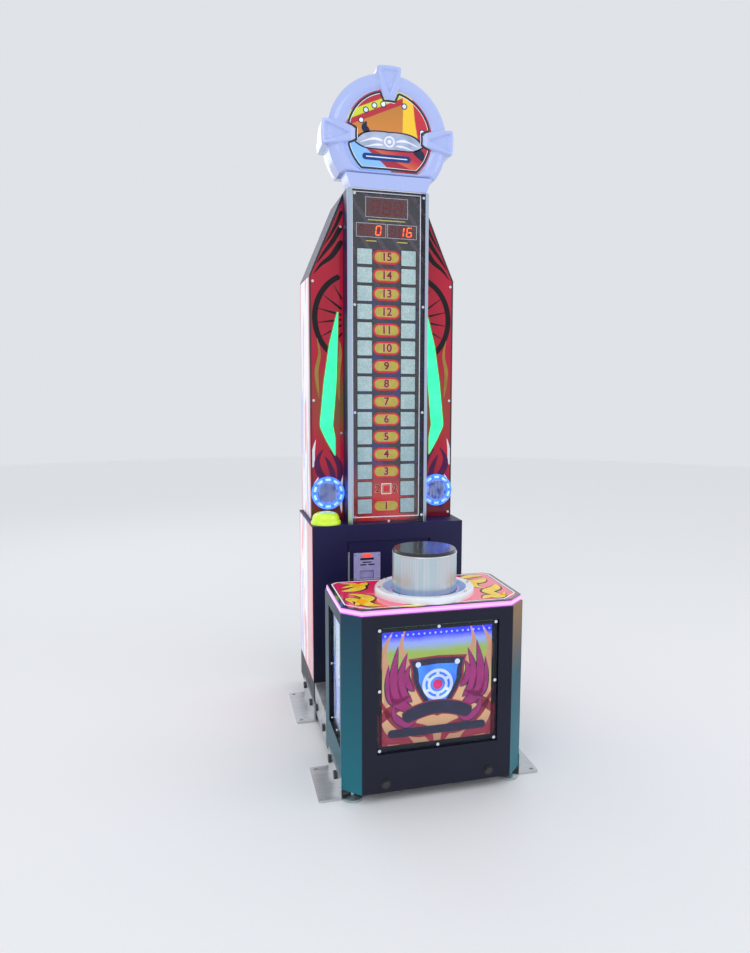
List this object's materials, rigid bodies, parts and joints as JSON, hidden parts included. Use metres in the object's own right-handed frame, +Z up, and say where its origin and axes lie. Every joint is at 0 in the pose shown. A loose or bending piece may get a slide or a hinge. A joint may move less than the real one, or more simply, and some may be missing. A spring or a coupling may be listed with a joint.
{
  "type": "strength tester arcade machine",
  "caption": "Floor-standing strength tester: a sprung round striking pad on a low pedestal, joined to a tower with a numbered lamp column, displays and a coin door.",
  "frame": {"origin": "on the floor under the middle of the whole machine", "axes": "+Z up, -Y towards the player at the striking pad, +X to the player's right"},
  "size_m": [0.604, 0.9, 2],
  "materials": {
    "galvanised_steel": "mottled galvanised",
    "black_bolts": "black oxide",
    "foot_steel": "zinc plated",
    "powder_coat": "satin powder coat",
    "clear_acrylic": "clear polished",
    "printed_art": "back-lit print",
    "glow_acrylic": "edge-lit acrylic",
    "table_print": "gloss print",
    "white_plastic": "gloss",
    "pale_plastic": "satin",
    "painted_steel": "semi-gloss",
    "bronze": "machined",
    "bumper_rubber": "matte",
    "ground_steel": "ground",
    "black_plastic": "fine texture",
    "spring_steel": "oiled",
    "brushed_stainless": "vertical brushed",
    "pad_rubber": "smooth",
    "side_print": "gloss print",
    "wing_print": "gloss print",
    "black_trim": "gloss",
    "anodised_aluminium": "satin anodised",
    "column_print": "gloss print",
    "lamp_diffuser": "frosted",
    "number_print": "printed",
    "display_lens": "dark red filter",
    "circuit_board": "solder mask",
    "blue_ring": "lit translucent",
    "grille_steel": "perforated",
    "lime_plastic": "translucent gloss",
    "hinge_steel": "zinc plated",
    "coin_plate_steel": "brushed",
    "red_lamp": "lit translucent",
    "lock_chrome": "polished",
    "topper_plastic": "gloss vacuum-formed",
    "topper_print": "back-lit print",
    "screw_steel": "bright zinc"
  },
  "bodies": {
    "cabinet": {"base_frame": "galvanised_steel", "floor_brackets": "galvanised_steel", "frame_bolts": "black_bolts", "levelling_feet": "foot_steel", "pedestal_shell": "powder_coat", "pedestal_rear_panel": "powder_coat", "pedestal_windows": "clear_acrylic", "pedestal_art_panels": "printed_art", "table_edge_light": "glow_acrylic", "table_art_panel": "table_print", "striker_flange": "white_plastic", "striker_collar": "pale_plastic", "striker_frame": "painted_steel", "guide_bushes": "bronze", "stop_bumpers": "bumper_rubber", "hit_sensor": "black_plastic", "lower_cabinet": "powder_coat", "upper_cabinet": "powder_coat", "upper_rear_cover": "powder_coat", "tower_side_panels": "side_print", "wing_art_panels": "wing_print", "wing_edge_trims": "black_trim", "column_shell": "powder_coat", "column_corner_trims": "anodised_aluminium", "column_cover": "clear_acrylic", "column_face_panel": "column_print", "lamp_tiles": "lamp_diffuser", "number_plates": "number_print", "score_displays": "display_lens", "lamp_boards": "circuit_board", "speaker_rings": "blue_ring", "speaker_grilles": "grille_steel", "speaker_drivers": "black_plastic", "start_button_bezel": "lime_plastic", "door_hinges": "hinge_steel", "cash_box": "painted_steel", "power_inlet": "black_plastic", "power_supply": "galvanised_steel", "control_board": "circuit_board", "topper_shell": "topper_plastic", "topper_back": "topper_plastic", "topper_art_panel": "topper_print", "topper_neck": "topper_plastic", "panel_screws": "screw_steel"},
    "striker": {"striker_sleeve": "brushed_stainless", "striker_pad": "pad_rubber", "striker_shaft": "ground_steel", "striker_spring": "spring_steel"},
    "start_button": {"start_button": "lime_plastic"},
    "coin_door": {"coin_door": "powder_coat", "coin_door_leaf": "hinge_steel", "coin_plate": "coin_plate_steel", "coin_acceptor": "black_plastic"},
    "coin_lock": {"coin_door_lock": "lock_chrome"},
    "reject_button": {"reject_button": "red_lamp"},
    "return_flap": {"return_flap": "coin_plate_steel"},
    "rear_door": {"rear_door": "powder_coat", "rear_door_leaf": "hinge_steel"},
    "rear_lock": {"rear_door_lock": "lock_chrome"},
    "power_switch": {"power_switch": "red_lamp"}
  },
  "joints": [
    {"name": "striker_slide", "type": "slide", "parent": "cabinet", "child": "striker", "axis": [0, 0, -1], "range_m": [0, 0.04], "stiffness_N_per_m": 9000, "springref_m": -0.03, "deforming": ["striker_spring"]},
    {"name": "start_button_press", "type": "slide", "parent": "cabinet", "child": "start_button", "axis": [0, 0, -1], "range_m": [0, 0.005], "stiffness_N_per_m": 900, "springref_m": -0.004},
    {"name": "coin_door_hinge", "type": "hinge", "parent": "cabinet", "child": "coin_door", "pos_m": [-0.1304, 0.1112, 0.4], "axis": [0, 0, -1], "range_deg": [0, 60]},
    {"name": "coin_lock_turn", "type": "hinge", "parent": "coin_door", "child": "coin_lock", "pos_m": [0.112, 0.115, 0.4], "axis": [0, -1, 0], "range_deg": [0, 90]},
    {"name": "reject_press", "type": "slide", "parent": "coin_door", "child": "reject_button", "axis": [0, 1, 0], "range_m": [0, 0.003], "stiffness_N_per_m": 300, "springref_m": -0.002},
    {"name": "return_flap_swing", "type": "hinge", "parent": "coin_door", "child": "return_flap", "pos_m": [-0.071, 0.118, 0.4656], "axis": [1, 0, 0], "range_deg": [0, 70]},
    {"name": "rear_door_hinge", "type": "hinge", "parent": "cabinet", "child": "rear_door", "pos_m": [0.2046, 0.445, 0.37], "axis": [0, 0, -1], "range_deg": [0, 120]},
    {"name": "rear_lock_turn", "type": "hinge", "parent": "rear_door", "child": "rear_lock", "pos_m": [-0.168, 0.44, 0.37], "axis": [0, 1, 0], "range_deg": [0, 90]},
    {"name": "power_switch_rock", "type": "hinge", "parent": "cabinet", "child": "power_switch", "pos_m": [-0.132, 0.439, 0.136], "axis": [0, 0, -1], "range_deg": [0, 20]}
  ]
}
